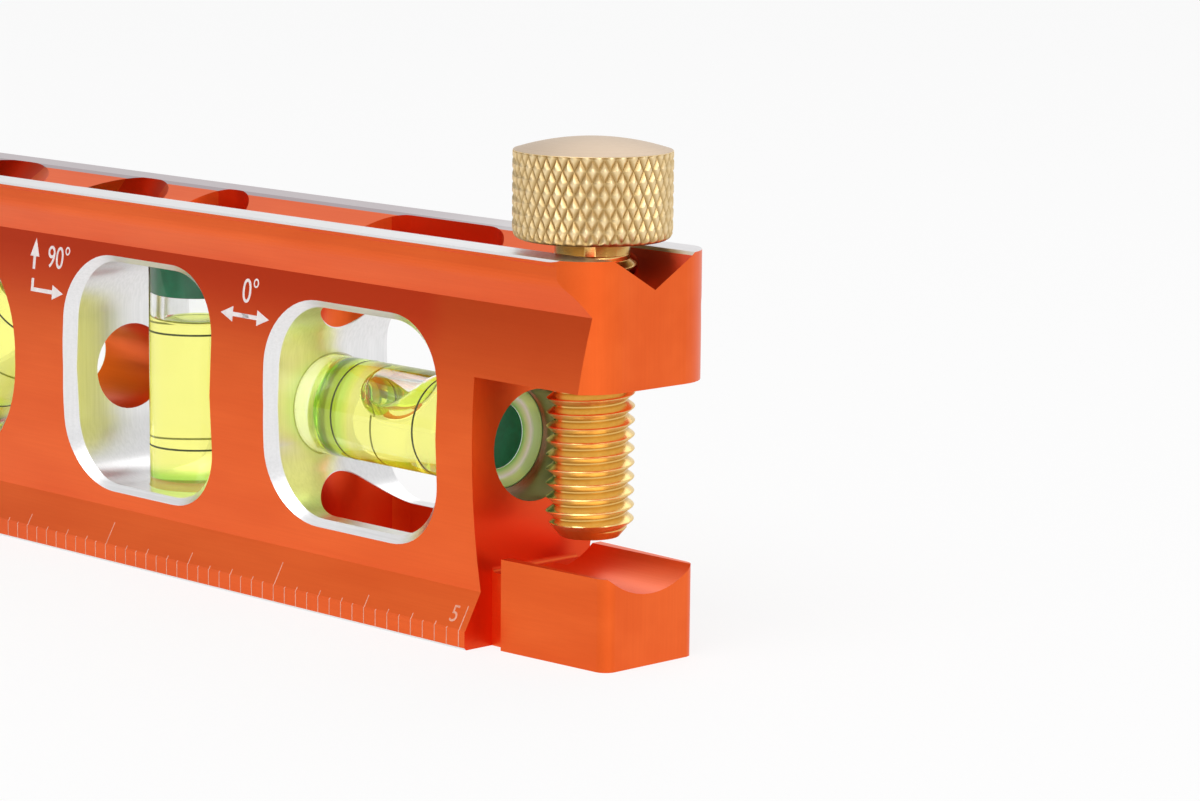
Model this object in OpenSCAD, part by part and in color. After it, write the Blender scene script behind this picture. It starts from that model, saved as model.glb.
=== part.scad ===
// Pocket level with four vials and a screw clamp at one end, in millimetres.
// X runs along the level towards the clamp, Y runs across it, and Z goes up from the flat base.
// The origin is the middle of the base.

/* [Bar] */
// Length from the plain end to the tips of the two jaws
overall_l = 142.5; // [140:0.5:160]
// Width across the base and across the two top rails
body_w = 16.9; // [16.5:0.1:20]
// Height from the base to the top rails
body_h = 35.7; // [35:0.1:40]
// Length of the jaws, from the wall of the throat to their tips
jaw_l = 14.7; // [13.5:0.1:18]

/* [Side recess] */
// How far the crest of the web lies behind the rails
web_inset = 0.75; // [0.5:0.05:1.2]
// Radius that the web bulges with
web_r = 75; // [60:1:200]
// Height of the crest of the web, which is also the middle of the windows
web_z = 18.2; // [17.8:0.1:18.6]
// Height of the upright ruler band at the base
band_h = 1.8; // [1.2:0.1:2.2]
// Height of the slope from the ruler band up to the web
base_slope_h = 3.2; // [3:0.1:4]
// Height of the narrow lip under each top rail
lip_h = 0.4; // [0.2:0.05:0.8]
// Depth of the small step behind the band and behind the lip
step_d = 0.12; // [0.05:0.01:0.3]
// Height of the slope from the web up to the lip
rail_slope_h = 4.4; // [3.6:0.1:4.8]
// Radius of the rounding at the top of that slope
rail_bend_r = 2.1; // [1.5:0.1:2.6]
// Size of the broken edges of the rails and of the base
edge_break = 0.2; // [0.1:0.05:0.3]

/* [Top groove] */
// Width of the groove between the rails
groove_w = 9.9; // [9.7:0.1:11]
// Angle between the two walls of the groove, in degrees
groove_angle = 120; // [112:1:140]

/* [Windows] */
// Width of the window of the level vial
window_0_w = 21.8; // [20:0.1:23]
// Height of the window of the level vial
window_0_h = 19.6; // [18:0.1:20.5]
// Width of the window of the plumb vial
window_90_w = 20.8; // [19:0.1:22]
// Height of the window of the plumb vial
window_90_h = 21.9; // [20:0.1:22.4]
// Radius of the corners of the two windows with straight sides
window_corner_r = 6; // [4:0.1:8]
// Diameter of the two round windows
round_window_d = 21; // [19:0.1:22]
// Bare chamfer round each window
window_chamfer = 0.95; // [0.5:0.05:1.2]
// Wall between the throat and the first window
end_wall = 5.7; // [5:0.1:7]
// Wall between the first three windows
rib_w = 9.8; // [9:0.1:11]
// Wall between the two round windows
last_rib_w = 12.9; // [12:0.1:15]
// Length of the reading slots above and below the level vial
slot_l = 20.3; // [16:0.1:20.6]
// Width of the reading slots
slot_w = 9.5; // [7:0.1:9.6]

/* [Vials] */
// Outer diameter of a vial
vial_d = 9.4; // [8.6:0.1:9.5]
// Length of the liquid inside a vial
fluid_l = 18; // [16:0.5:19]
// Length from the liquid to the end of a vial that its plug closes
plug_l = 3.9; // [3.5:0.1:5]
// How deep the plug's face lies in that end
plug_recess = 1; // [0.5:0.1:2.5]
// Thickness of the closed end of a vial
vial_floor = 3.6; // [2.5:0.1:4]
// Diameter of the barrel-shaped bore at its middle
vial_bore_d = 6.4; // [6.2:0.1:7]
// Diameter of that bore at its ends
vial_bore_end_d = 6.1; // [5.4:0.1:6.3]
// Distance between the two reading rings
ring_pitch = 11.2; // [9:0.1:13]
// Width of a reading ring
ring_w = 0.22; // [0.15:0.01:0.4]
// Depth of the groove that holds a reading ring
ring_t = 0.12; // [0.08:0.01:0.2]
// Length of the air bubble in the level vial
bubble_l = 9; // [6:0.1:10]
// Height of the air bubble in the level vial
bubble_h = 2.8; // [2:0.1:3.2]
// Height of the middle of the level vial
vial_0_z = 17.65; // [17:0.05:18.5]
// How far the middle of the level vial lies from the middle of its window, towards the plain end
vial_0_shift = 0.25; // [0:0.05:0.5]
// Height of the middle of the liquid in the plumb vial
vial_90_z = 16.9; // [16:0.1:18]
// Diameter of the entry bores, in the throat wall and in the groove, that the vials go in through
entry_d = 10.1; // [9.8:0.1:10.8]
// Depth of the entry bore in the throat wall
entry_depth = 4; // [1.5:0.1:4.4]
// How far the middle of that bore lies under the middle of the level vial
entry_drop = 0.22; // [0.02:0.05:0.27]
// Height of the shoulder that stops the level vial
vial_stop = 0.5; // [0.2:0.05:0.6]

/* [Clamp] */
// Height of the underside of the upper jaw
upper_jaw_z = 24.3; // [23.5:0.1:25.5]
// Radius of the upright corners of the upper jaw
nose_r = 4.6; // [3:0.1:4.9]
// Height of the lower jaw
lower_jaw_h = 8.2; // [7.6:0.1:8.8]
// Width of the lower jaw at its root
lower_jaw_root_w = 12.2; // [11.6:0.1:13]
// Width of the lower jaw at its tip
lower_jaw_tip_w = 11; // [10.4:0.1:11.6]
// Length of the neck between the throat wall and the lower jaw
neck_l = 2.15; // [2.05:0.05:3]
// Width of the neck
neck_w = 10.3; // [9:0.1:10.8]
// Height of the neck
neck_h = 6.6; // [6.5:0.1:7.4]
// Radius of the saddle in the lower jaw
saddle_r = 8; // [7.5:0.1:10]
// Depth of the saddle
saddle_d = 1.85; // [1.5:0.05:2.2]
// Radius of the fillet between the throat wall and the neck
throat_fillet = 0.5; // [0.3:0.1:2.1]
// Radius of the corners at the tip of the lower jaw
lower_jaw_corner_r = 1.2; // [0.6:0.1:2]

/* [Thumb screw] */
// Distance from the throat wall to the axis of the screw
screw_reach = 6.95; // [6.4:0.05:7.3]
// Diameter over the crests of the thread
thread_d = 7.8; // [7.4:0.02:8]
// Pitch of the thread
thread_pitch = 1.25; // [1:0.05:1.5]
// Depth of the thread
thread_depth = 0.68; // [0.5:0.02:0.75]
// Height of the screw's tip over the base
screw_tip_z = 10.35; // [10:0.05:12]
// Chamfer at the screw's tip
tip_chamfer = 0.6; // [0.5:0.05:1]
// Length of the plain neck under the knob
screw_neck_l = 1.2; // [1:0.05:1.5]
// Diameter of that plain neck
screw_neck_d = 6.6; // [6:0.1:7]
// Diameter of the knob
knob_d = 14; // [13:0.1:15]
// Height of the knob's side
knob_h = 7.8; // [6:0.1:9]
// Rise of the knob's domed top
knob_dome = 1.05; // [0.6:0.05:1.5]
// Radius of the knob's lower edge
knob_edge_r = 0.8; // [0.4:0.05:1]
// Space between the knob and the top rails
knob_lift = 0.85; // [0.8:0.05:1.5]
// Depth of the socket in the knob that the screw is pressed in
knob_socket = 4.5; // [3:0.1:5]

/* [Magnets] */
// Diameter of a base magnet
magnet_d = 6; // [5:0.1:6.5]
// Thickness of a base magnet
magnet_t = 2.6; // [2:0.1:2.8]
// How deep a magnet lies under the base
magnet_recess = 0.1; // [0.05:0.05:0.3]

/* [Fits] */
// Clearance round a vial in its bore
vial_fit = 0.05; // [0.02:0.01:0.05]
// Clearance round the screw in the upper jaw
screw_fit = 0.07; // [0.04:0.01:0.1]
// Clearance of the liquid and the plug inside a vial, and round a ring
inner_fit = 0.02; // [0.01:0.01:0.03]
// Clearance round a magnet in its pocket
magnet_fit = 0.05; // [0.02:0.01:0.1]

/* [Hidden] */
$fn = 96;
// Overrun of every cut past the face that it goes through
over = 1;
// Points on the curve of the crowned bore and of the domed knob
curve_steps = 12;
// Share of the height of the slope under the rails at which its rounding ends
bend_share = 0.76;
// Flats that the rounding is made of
bend_steps = 4;
// Share of the thread pitch that is flat at the crest and at the root
thread_flat_share = 0.125;
// Share of the window's corner radius that its chamfer follows, so that their seams don't meet
chamfer_corner_share = 0.97;
// Share of the web's own tilt that the chamfers take on, so that they are narrower above and below
chamfer_tilt_share = 0.72;
// Tilt of each vial's axis from upright, in degrees
tilt_angle_0 = 90;
tilt_angle_90 = 0;
tilt_angle_45 = 45;
tilt_angle_30 = 60;

left_x = -overall_l / 2;
tip_x = overall_l / 2;
throat_x = tip_x - jaw_l;
half_w = body_w / 2;
web_half = half_w - web_inset;
web_low = band_h + base_slope_h;
web_high = body_h - lip_h - rail_slope_h;
groove_depth = groove_w / 2 / tan(groove_angle / 2);

window_0_x = throat_x - end_wall - window_0_w / 2;
window_90_x = window_0_x - window_0_w / 2 - rib_w - window_90_w / 2;
window_45_x = window_90_x - window_90_w / 2 - rib_w - round_window_d / 2;
window_30_x = window_45_x - round_window_d - last_rib_w;
window_corner = min(window_corner_r, window_0_h / 2, window_90_w / 2);

vial_0_x = window_0_x - vial_0_shift;
entry_z = vial_0_z - entry_drop;
vial_low = -fluid_l / 2 - vial_floor;
vial_high = fluid_l / 2 + plug_l;
vial_seat_r = vial_d / 2 + vial_fit;
vial_crown = vial_bore_d - vial_bore_end_d;
crown_r = (fluid_l * fluid_l / 4 + vial_crown * vial_crown / 4) / vial_crown;

screw_x = throat_x + screw_reach;
knob_z = body_h + knob_lift;
knob_top_z = knob_z + knob_h;
knob_dome_r = (knob_d * knob_d / 4 + knob_dome * knob_dome) / (2 * knob_dome);
stud_top_z = knob_z + knob_socket;
thread_top_z = knob_z - screw_neck_l;
thread_turns = floor((thread_top_z - screw_tip_z - tip_chamfer) / thread_pitch);

magnet_xs = [
    (window_0_x - window_0_w / 2 + window_90_x + window_90_w / 2) / 2,
    (window_90_x - window_90_w / 2 + window_45_x + round_window_d / 2) / 2,
    (window_45_x + window_30_x) / 2
];

// Sag of the web behind its crest at a height over the crest
function web_sag(rise) = web_r - sqrt(web_r * web_r - rise * rise);

// Half of the web's thickness at a height over the base
function web_half_at(z) = web_half - web_sag(z - web_z);

// Radius of the crowned bore at a distance from its middle
function bore_r(s) = vial_bore_d / 2 - (crown_r - sqrt(crown_r * crown_r - s * s));

// Extrudes an outline given in Y and Z along X
module along_x(from_x, to_x) {
    translate([from_x, 0, 0])
        rotate([90, 0, 90])
            linear_extrude(height = to_x - from_x) children();
}

// A round bar along X
module bar_x(from_x, to_x, z, r) {
    translate([from_x, 0, z])
        rotate([0, 90, 0])
            cylinder(h = to_x - from_x, r = r);
}

// Outline of the base flange, from the flat base up to the web
module base_outline() {
    polygon([
        [-half_w + edge_break, 0], [half_w - edge_break, 0],
        [half_w, edge_break], [half_w, band_h - step_d], [half_w - step_d, band_h],
        [web_half_at(web_low), web_low], [-web_half_at(web_low), web_low],
        [-half_w + step_d, band_h], [-half_w, band_h - step_d], [-half_w, edge_break]
    ]);
}

// Middle of the rounding at the top of the slope under the rails
bend_mid = [half_w - step_d - rail_bend_r, web_high + rail_slope_h * bend_share];

// From the foot of that slope to the middle of its rounding, and the slope's angle from upright
bend_reach = bend_mid - [web_half_at(web_high), web_high];
bend_angle = asin(rail_bend_r / norm(bend_reach)) + atan(bend_reach.x / bend_reach.y);

// Right half of the outline of the rail flange, from the web up to the rails
function rail_side() = [
    [web_half_at(web_high), web_high],
    for (i = [bend_steps : -1 : 0])
        bend_mid + rail_bend_r * [cos(bend_angle * i / bend_steps), -sin(bend_angle * i / bend_steps)],
    [half_w - step_d, body_h - lip_h - step_d],
    [half_w, body_h - lip_h],
    [half_w, body_h - edge_break],
    [half_w - edge_break, body_h]
];

// Outline of the rail flange, without the groove
module rail_outline() {
    side = rail_side();
    polygon(concat(side, [for (i = [len(side) - 1 : -1 : 0]) [-side[i].x, side[i].y]]));
}

// The web between the flanges, bulged on both sides
module web_bar(from_x, to_x) {
    intersection() {
        translate([from_x, -half_w, web_low - inner_fit])
            cube([to_x - from_x, body_w, web_high - web_low + 2 * inner_fit]);
        translate([0, web_r - web_half, 0]) bar_x(from_x, to_x, web_z, web_r);
        translate([0, web_half - web_r, 0]) bar_x(from_x, to_x, web_z, web_r);
    }
}

// The full section of the level between two places
module section_bar(from_x, to_x) {
    along_x(from_x, to_x) base_outline();
    along_x(from_x, to_x) rail_outline();
    web_bar(from_x, to_x);
}

// The upright corners that are missing from the upper jaw
module nose_corners() {
    for (side = [-1, 1])
        difference() {
            translate([tip_x - nose_r, side > 0 ? half_w - nose_r : -half_w - over, upper_jaw_z - over])
                cube([nose_r + over, nose_r + over, body_h - upper_jaw_z + 2 * over]);
            translate([tip_x - nose_r, side * (half_w - nose_r), upper_jaw_z - 2 * over])
                cylinder(h = body_h - upper_jaw_z + 4 * over, r = nose_r);
        }
}

// The upper jaw, which is the full section with rounded corners
module upper_jaw() {
    difference() {
        section_bar(throat_x - over, tip_x);
        translate([throat_x - 2 * over, -body_w, -over])
            cube([jaw_l + 4 * over, 2 * body_w, upper_jaw_z + over]);
        nose_corners();
    }
}

// The corners that are missing from the tip of the lower jaw, whose sides taper by an angle
module lower_jaw_corners(taper) {
    reach = lower_jaw_corner_r + over;
    mid_x = tip_x - lower_jaw_corner_r;
    mid_y = lower_jaw_tip_w / 2 + lower_jaw_corner_r * (tan(taper) - 1 / cos(taper));
    for (side = [0, 1])
        mirror([0, side, 0])
            translate([mid_x, mid_y, -over])
                difference() {
                    linear_extrude(height = lower_jaw_h + 2 * over)
                        polygon([
                            [0, 0], [reach, 0], [reach, reach],
                            [reach * sin(taper), reach * cos(taper)]
                        ]);
                    translate([0, 0, -over])
                        cylinder(h = lower_jaw_h + 4 * over, r = lower_jaw_corner_r);
                }
}

// The rounding in the corner between the throat wall and the neck
module neck_fillet() {
    translate([throat_x, neck_w / 2, neck_h])
        rotate([90, 0, 0])
            difference() {
                translate([-over, -over, 0])
                    cube([throat_fillet + over, throat_fillet + over, neck_w]);
                translate([throat_fillet, throat_fillet, -over])
                    cylinder(h = neck_w + 2 * over, r = throat_fillet);
            }
}

// The lower jaw with its saddle, and the neck that carries it
module lower_jaw() {
    root = lower_jaw_root_w / 2;
    tip = lower_jaw_tip_w / 2;
    difference() {
        union() {
            translate([throat_x - over, -neck_w / 2, 0])
                cube([neck_l + 2 * over, neck_w, neck_h]);
            linear_extrude(height = lower_jaw_h)
                polygon([
                    [throat_x + neck_l, -root], [tip_x, -tip],
                    [tip_x, tip], [throat_x + neck_l, root]
                ]);
            neck_fillet();
        }
        lower_jaw_corners(atan((root - tip) / (jaw_l - neck_l)));
        bar_x(throat_x + throat_fillet, tip_x + over, lower_jaw_h - saddle_d + saddle_r, saddle_r);
    }
}

// A rounded rectangle in X and Z, cut through the level
module window_cut(x, w, h) {
    cx = w / 2 - window_corner;
    cz = h / 2 - window_corner;
    translate([x, 0, web_z])
        rotate([90, 0, 0])
            translate([0, 0, -half_w - over]) {
                for (sx = [-1, 1])
                    for (sz = [-1, 1])
                        translate([sx * cx, sz * cz, 0])
                            cylinder(h = body_w + 2 * over, r = window_corner);
                translate([-w / 2, -cz, 0]) cube([w, 2 * cz, body_w + 2 * over]);
                translate([-cx, -h / 2, 0]) cube([2 * cx, h, body_w + 2 * over]);
            }
}

// A wedge-sided bar along Y: its half width grows by its own height
module wedge_bar(half_low, l) {
    rise = window_chamfer + 2 * over;
    rotate([90, 0, 0])
        translate([0, 0, -l / 2])
            linear_extrude(height = l)
                polygon([[-half_low, 0], [half_low, 0], [half_low + rise, rise], [-half_low - rise, rise]]);
}

// The chamfer round a rounded rectangle, in a frame whose Z points out of the web
module chamfer_cut(w, h) {
    corner = window_corner * chamfer_corner_share;
    cx = w / 2 - corner;
    cy = h / 2 - corner;
    low_r = corner - over;
    rise = window_chamfer + 2 * over;
    translate([0, 0, -window_chamfer - over]) {
        for (sx = [-1, 1])
            for (sy = [-1, 1])
                translate([sx * cx, sy * cy, 0])
                    cylinder(h = rise, r1 = low_r, r2 = low_r + rise);
        wedge_bar(w / 2 - over, 2 * cy);
        rotate([0, 0, 90]) wedge_bar(h / 2 - over, 2 * cx);
    }
}

// The chamfer round a round window, in the same frame
module round_chamfer_cut() {
    low_r = round_window_d / 2 - over;
    rise = window_chamfer + 2 * over;
    translate([0, 0, -window_chamfer - over])
        cylinder(h = rise, r1 = low_r, r2 = low_r + rise);
}

// Places a chamfer on both faces, tilted to follow the upper and the lower half of the bulged web
module on_web(x, h) {
    tilt = asin(h / (4 * web_r)) * chamfer_tilt_share;
    for (face = [0, 1])
        mirror([0, face, 0])
            for (half = [-1, 1])
                translate([x, -web_half, web_z])
                    rotate([90 - half * tilt, 0, 0]) children();
}

// The four windows and their chamfers
module windows() {
    window_cut(window_0_x, window_0_w, window_0_h);
    window_cut(window_90_x, window_90_w, window_90_h);
    on_web(window_0_x, window_0_h) chamfer_cut(window_0_w, window_0_h);
    on_web(window_90_x, window_90_h) chamfer_cut(window_90_w, window_90_h);
    for (x = [window_45_x, window_30_x]) {
        translate([x, half_w + over, web_z])
            rotate([90, 0, 0])
                cylinder(h = body_w + 2 * over, r = round_window_d / 2);
        on_web(x, round_window_d) round_chamfer_cut();
    }
}

// A slot with round ends, upright, from one height to another
module slot_cut(low_z, high_z) {
    end_x = (slot_l - slot_w) / 2;
    translate([window_0_x, 0, low_z]) {
        for (sx = [-1, 1])
            translate([sx * end_x, 0, 0]) cylinder(h = high_z - low_z, r = slot_w / 2);
        translate([-end_x, -slot_w / 2, 0]) cube([2 * end_x, slot_w, high_z - low_z]);
    }
}

// Places a vial or its bore: local Z runs from the closed end to the plug
module place_vial(x, z, tilt) {
    translate([x, 0, z]) rotate([0, tilt, 0]) children();
}

// The bore that a tilted or upright vial slides into from the groove, wider from the vial's plug up
module vial_bore(x, z, tilt) {
    place_vial(x, z, tilt) {
        translate([0, 0, vial_low])
            cylinder(h = vial_high - vial_low + over, r = vial_seat_r);
        translate([0, 0, vial_high])
            cylinder(h = (body_h - z + body_w) / cos(tilt) - vial_high, r = entry_d / 2);
    }
}

// All the bores and pockets of the level's body
module bores() {
    bar_x(window_45_x, vial_0_x + vial_low + over, vial_0_z, vial_seat_r - vial_stop);
    bar_x(vial_0_x + vial_low, throat_x + over, vial_0_z, vial_seat_r);
    bar_x(throat_x - entry_depth, throat_x + over, entry_z, entry_d / 2);
    vial_bore(window_90_x, vial_90_z, tilt_angle_90);
    vial_bore(window_45_x, web_z, tilt_angle_45);
    vial_bore(window_30_x, web_z, tilt_angle_30);
    slot_cut(-over, web_z);
    slot_cut(web_z, body_h + over);
    translate([screw_x, 0, lower_jaw_h])
        cylinder(h = body_h, r = thread_d / 2 + screw_fit);
    for (x = magnet_xs)
        translate([x, 0, -over])
            cylinder(h = over + magnet_recess + magnet_t + magnet_fit, r = magnet_d / 2 + magnet_fit);
}

// The one machined bar: web, flanges, rails and both jaws
module level_body() {
    color([0.87, 0.27, 0.09])
        difference() {
            union() {
                section_bar(left_x, throat_x);
                upper_jaw();
                lower_jaw();
            }
            along_x(left_x - over, tip_x + over)
                polygon([
                    [0, body_h - groove_depth],
                    [groove_w / 2 + over * tan(groove_angle / 2), body_h + over],
                    [-groove_w / 2 - over * tan(groove_angle / 2), body_h + over]
                ]);
            windows();
            bores();
        }
}

// Outline of one turn of the thread, as radius and height over the turn's start
function thread_turn(z) = [
    [thread_d / 2 - thread_depth, z + thread_pitch * thread_flat_share],
    [thread_d / 2, z + thread_pitch * (1 - thread_flat_share) / 2],
    [thread_d / 2, z + thread_pitch * (1 + thread_flat_share) / 2],
    [thread_d / 2 - thread_depth, z + thread_pitch * (1 - thread_flat_share)]
];

// The threaded stud with its chamfered tip and its plain neck
module screw_stud() {
    root_r = thread_d / 2 - thread_depth;
    thread_low_z = thread_top_z - thread_turns * thread_pitch;
    color([0.84, 0.63, 0.25])
        translate([screw_x, 0, 0])
            rotate_extrude()
                polygon(concat(
                    [[0, screw_tip_z], [root_r - tip_chamfer, screw_tip_z]],
                    [[root_r, screw_tip_z + tip_chamfer]],
                    [for (i = [0 : thread_turns - 1]) each thread_turn(thread_low_z + i * thread_pitch)],
                    [[screw_neck_d / 2, thread_top_z], [screw_neck_d / 2, stud_top_z], [0, stud_top_z]]
                ));
}

// Outline of the knob: rounded lower edge, side, domed top, and the socket for the stud
function knob_outline() = concat(
    [[screw_neck_d / 2 + inner_fit, knob_z]],
    [for (i = [0 : curve_steps])
        [knob_d / 2 - knob_edge_r * (1 - sin(90 * i / curve_steps)),
         knob_z + knob_edge_r * (1 - cos(90 * i / curve_steps))]],
    [for (i = [0 : curve_steps])
        let (r = knob_d / 2 * (1 - i / curve_steps))
        [r, knob_top_z + knob_dome - knob_dome_r + sqrt(knob_dome_r * knob_dome_r - r * r)]],
    [[0, stud_top_z + inner_fit], [screw_neck_d / 2 + inner_fit, stud_top_z + inner_fit]]
);

// The knob with its domed top
module thumb_knob() {
    color([0.80, 0.66, 0.42])
        translate([screw_x, 0, 0])
            rotate_extrude() polygon(knob_outline());
}

// Half outline of the crowned bore, as radius and place along the vial
function bore_curve(gap) = [
    for (i = [0 : curve_steps])
        let (s = fluid_l * (i / curve_steps - 0.5))
        [bore_r(s) - gap, s * (1 - 2 * gap / fluid_l)]
];

// The clear barrel with its crowned bore and its two ring grooves
module vial_barrel(x, z, tilt) {
    color([0.80, 0.92, 0.86, 0.45])
        place_vial(x, z, tilt)
            difference() {
                translate([0, 0, vial_low]) cylinder(h = vial_high - vial_low, r = vial_d / 2);
                rotate_extrude()
                    polygon(concat(
                        [[0, -fluid_l / 2]], bore_curve(0),
                        [[bore_r(fluid_l / 2), vial_high + over], [0, vial_high + over]]
                    ));
                for (side = [-1, 1])
                    translate([0, 0, side * ring_pitch / 2 - ring_w / 2])
                        difference() {
                            cylinder(h = ring_w, r = vial_d / 2 + over);
                            translate([0, 0, -over])
                                cylinder(h = ring_w + 2 * over, r = vial_d / 2 - ring_t);
                        }
            }
}

// The liquid, with the space of its bubble taken out at the top
module vial_fluid(x, z, tilt) {
    color([0.85, 0.95, 0.15, 0.8])
        place_vial(x, z, tilt)
            difference() {
                rotate_extrude()
                    polygon(concat(
                        [[0, -fluid_l / 2 + inner_fit]],
                        bore_curve(inner_fit),
                        [[0, fluid_l / 2 - inner_fit]]
                    ));
                bubble_space(tilt);
            }
}

// The bubble lies along the top of the level vial, and at the upper end of the others
module bubble_space(tilt) {
    if (tilt == tilt_angle_0)
        translate([-vial_bore_d / 2 + bubble_h / 2 - inner_fit, 0, 0])
            rotate_extrude()
                polygon([for (i = [0 : 2 * curve_steps])
                    [bubble_h / 2 * sin(90 * i / curve_steps), bubble_l / 2 * cos(90 * i / curve_steps)]]);
    else
        translate([-bubble_h / 2 * sin(tilt), 0, fluid_l / 2 - bubble_h / 2])
            sphere(r = bubble_h / 2);
}

// The plug that closes a vial
module vial_plug(x, z, tilt) {
    color([0.03, 0.36, 0.24])
        place_vial(x, z, tilt)
            translate([0, 0, fluid_l / 2])
                cylinder(h = plug_l - plug_recess, r = bore_r(fluid_l / 2) - inner_fit);
}

// The pair of reading rings, set in the barrel's grooves
module vial_rings(x, z, tilt) {
    color([0.10, 0.12, 0.08])
        place_vial(x, z, tilt)
            for (side = [-1, 1])
                translate([0, 0, side * ring_pitch / 2 - ring_w / 2 + inner_fit])
                    difference() {
                        cylinder(h = ring_w - 2 * inner_fit, r = vial_d / 2);
                        translate([0, 0, -over])
                            cylinder(h = ring_w + 2 * over, r = vial_d / 2 - ring_t + inner_fit);
                    }
}

// One of the disc magnets in the base
module base_magnet(x) {
    color([0.75, 0.76, 0.78])
        translate([x, 0, magnet_recess]) cylinder(h = magnet_t, r = magnet_d / 2);
}

level_body();
screw_stud();
thumb_knob();
vial_barrel(vial_0_x, vial_0_z, tilt_angle_0);  // vial_0_barrel
vial_fluid(vial_0_x, vial_0_z, tilt_angle_0);  // vial_0_fluid
vial_plug(vial_0_x, vial_0_z, tilt_angle_0);  // vial_0_plug
vial_rings(vial_0_x, vial_0_z, tilt_angle_0);  // vial_0_rings
vial_barrel(window_90_x, vial_90_z, tilt_angle_90);  // vial_90_barrel
vial_fluid(window_90_x, vial_90_z, tilt_angle_90);  // vial_90_fluid
vial_plug(window_90_x, vial_90_z, tilt_angle_90);  // vial_90_plug
vial_rings(window_90_x, vial_90_z, tilt_angle_90);  // vial_90_rings
vial_barrel(window_45_x, web_z, tilt_angle_45);  // vial_45_barrel
vial_fluid(window_45_x, web_z, tilt_angle_45);  // vial_45_fluid
vial_plug(window_45_x, web_z, tilt_angle_45);  // vial_45_plug
vial_rings(window_45_x, web_z, tilt_angle_45);  // vial_45_rings
vial_barrel(window_30_x, web_z, tilt_angle_30);  // vial_30_barrel
vial_fluid(window_30_x, web_z, tilt_angle_30);  // vial_30_fluid
vial_plug(window_30_x, web_z, tilt_angle_30);  // vial_30_plug
vial_rings(window_30_x, web_z, tilt_angle_30);  // vial_30_rings
base_magnet(magnet_xs[0]);  // base_magnet_1
base_magnet(magnet_xs[1]);  // base_magnet_2
base_magnet(magnet_xs[2]);  // base_magnet_3
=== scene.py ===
"""Looks of the pocket level: the machined body, knurled knob, threaded stud, vials, ruler and legends."""
import math

import bmesh
import bpy
import numpy as np
from mathutils import Matrix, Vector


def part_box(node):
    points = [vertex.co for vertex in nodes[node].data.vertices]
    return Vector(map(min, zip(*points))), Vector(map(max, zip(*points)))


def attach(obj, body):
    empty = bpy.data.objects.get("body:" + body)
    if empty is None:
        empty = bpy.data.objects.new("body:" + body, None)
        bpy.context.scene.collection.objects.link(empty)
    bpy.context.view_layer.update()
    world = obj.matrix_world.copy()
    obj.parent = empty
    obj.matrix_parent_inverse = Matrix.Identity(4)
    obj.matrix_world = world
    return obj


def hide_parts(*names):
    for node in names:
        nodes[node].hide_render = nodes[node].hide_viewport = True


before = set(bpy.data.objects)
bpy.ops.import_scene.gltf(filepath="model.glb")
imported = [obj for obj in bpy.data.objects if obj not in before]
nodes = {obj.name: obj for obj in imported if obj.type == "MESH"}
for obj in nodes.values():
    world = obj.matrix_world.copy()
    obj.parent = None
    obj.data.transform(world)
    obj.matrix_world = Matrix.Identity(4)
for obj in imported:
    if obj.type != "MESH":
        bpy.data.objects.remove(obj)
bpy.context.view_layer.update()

# Sizes in millimetres, as the part's source has them
MM = 0.001
BODY_H, HALF_W = 35.7, 8.45
WEB_HALF, WEB_R, WEB_Z = 7.7, 75.0, 18.2
BAND_H, STEP, SLOPE_TOP = 1.8, 0.12, 5.0
THROAT_X, SEAT_END_X, VIAL_0_Z = 56.55, 52.55, 17.65
SCREW_X = 63.5
RULER_END_X, TICK_PITCH = 55.775, 1.5875
# Each window: middle along X, width, height, corner radius. The middles stand at the crest of the web.
WINDOWS = ((39.95, 21.8, 19.6, 6.0), (8.85, 20.8, 21.9, 6.0),
           (-21.85, 21.0, 21.0, 10.5), (-55.75, 21.0, 21.0, 10.5))
# Each vial: middle between its rings along X, its height, tilt from upright in degrees
VIALS = {"vial_0": (39.7, VIAL_0_Z, 90), "vial_90": (8.85, 16.9, 0),
         "vial_45": (-21.85, WEB_Z, 45), "vial_30": (-55.75, WEB_Z, 60)}
VIAL_R, VIAL_LOW, VIAL_HIGH, PLUG_RECESS = 4.69, -12.6, 12.9, 1.0
BORE_R, BORE_END_R, FLUID_LOW, FLUID_HIGH = 3.2, 3.05, -9.0, 9.0
# The level vial's seats along X, their radius, and the radius of the bore that it goes in through
PLAIN_SEAT, CLAMP_SEAT = (27.0, 29.2), (50.7, SEAT_END_X + 0.1)
SEAT_R, ENTRY_R = 4.9, 5.35
# The slot in the base: its ends along X, half its width, and a height above its walls
BASE_SLOT, SLOT_HALF, SLOT_TOP = (29.5, 50.4), 4.3, 12.0

# The photograph's camera: azimuth, elevation and roll in degrees, place in metres, lens in millimetres
CAMERA_AZ, CAMERA_EL, CAMERA_ROLL = 45.41, 9.38, 0.62
CAMERA_SPOT, CAMERA_LENS = (0.30556, -0.23749, 0.07832), 118.04


# Finishes

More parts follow.
